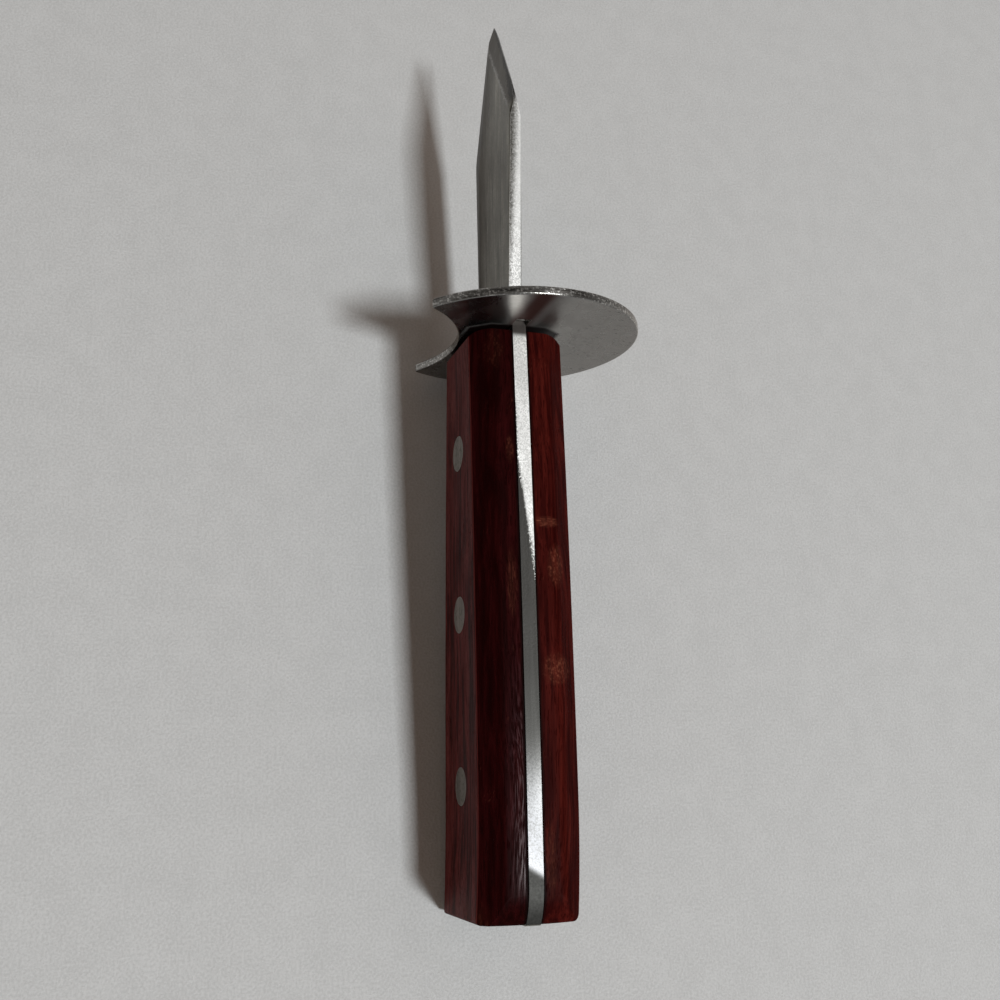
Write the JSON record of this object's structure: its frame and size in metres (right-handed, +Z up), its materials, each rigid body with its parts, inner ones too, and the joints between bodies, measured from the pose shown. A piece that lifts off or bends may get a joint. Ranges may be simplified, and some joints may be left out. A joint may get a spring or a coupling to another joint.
{
  "type": "oyster knife",
  "caption": "Oyster knife with a clipped steel blade, a full tang, a round guard with a thumb notch and riveted wooden handle scales.",
  "frame": {"origin": "on the table, under the middle of the knife's footprint, as the knife rests on its guard's rim and its butt's lower corner", "axes": "+X from the butt towards the blade's tip, +Y towards the knife's left side, where the thumb notch is, +Z up from the table, on the spine's side"},
  "size_m": [0.1701, 0.0426, 0.0473],
  "materials": {
    "blade_steel": "satin steel, brushed along the blade, tumbled along its edges",
    "guard_steel": "smooth satin faces with light smudges, brushed rim",
    "left_wood": "dark red-brown hardwood, lightly polished and worn",
    "right_wood": "red-brown hardwood, lightly polished and worn",
    "bedding": "dark cured bedding, matt",
    "rivet_metal": "ground flush with the wood, satin"
  },
  "bodies": {
    "root": {"blade_and_tang": "blade_steel", "guard_plate": "guard_steel", "left_scale": "left_wood", "right_scale": "right_wood", "left_bedding_film": "bedding", "right_bedding_film": "bedding", "front_rivet_tube_half": "rivet_metal", "middle_rivet_tube_half": "rivet_metal", "rear_rivet_tube_half": "rivet_metal", "front_rivet_pin_half": "rivet_metal", "middle_rivet_pin_half": "rivet_metal", "rear_rivet_pin_half": "rivet_metal"}
  },
  "joints": []
}
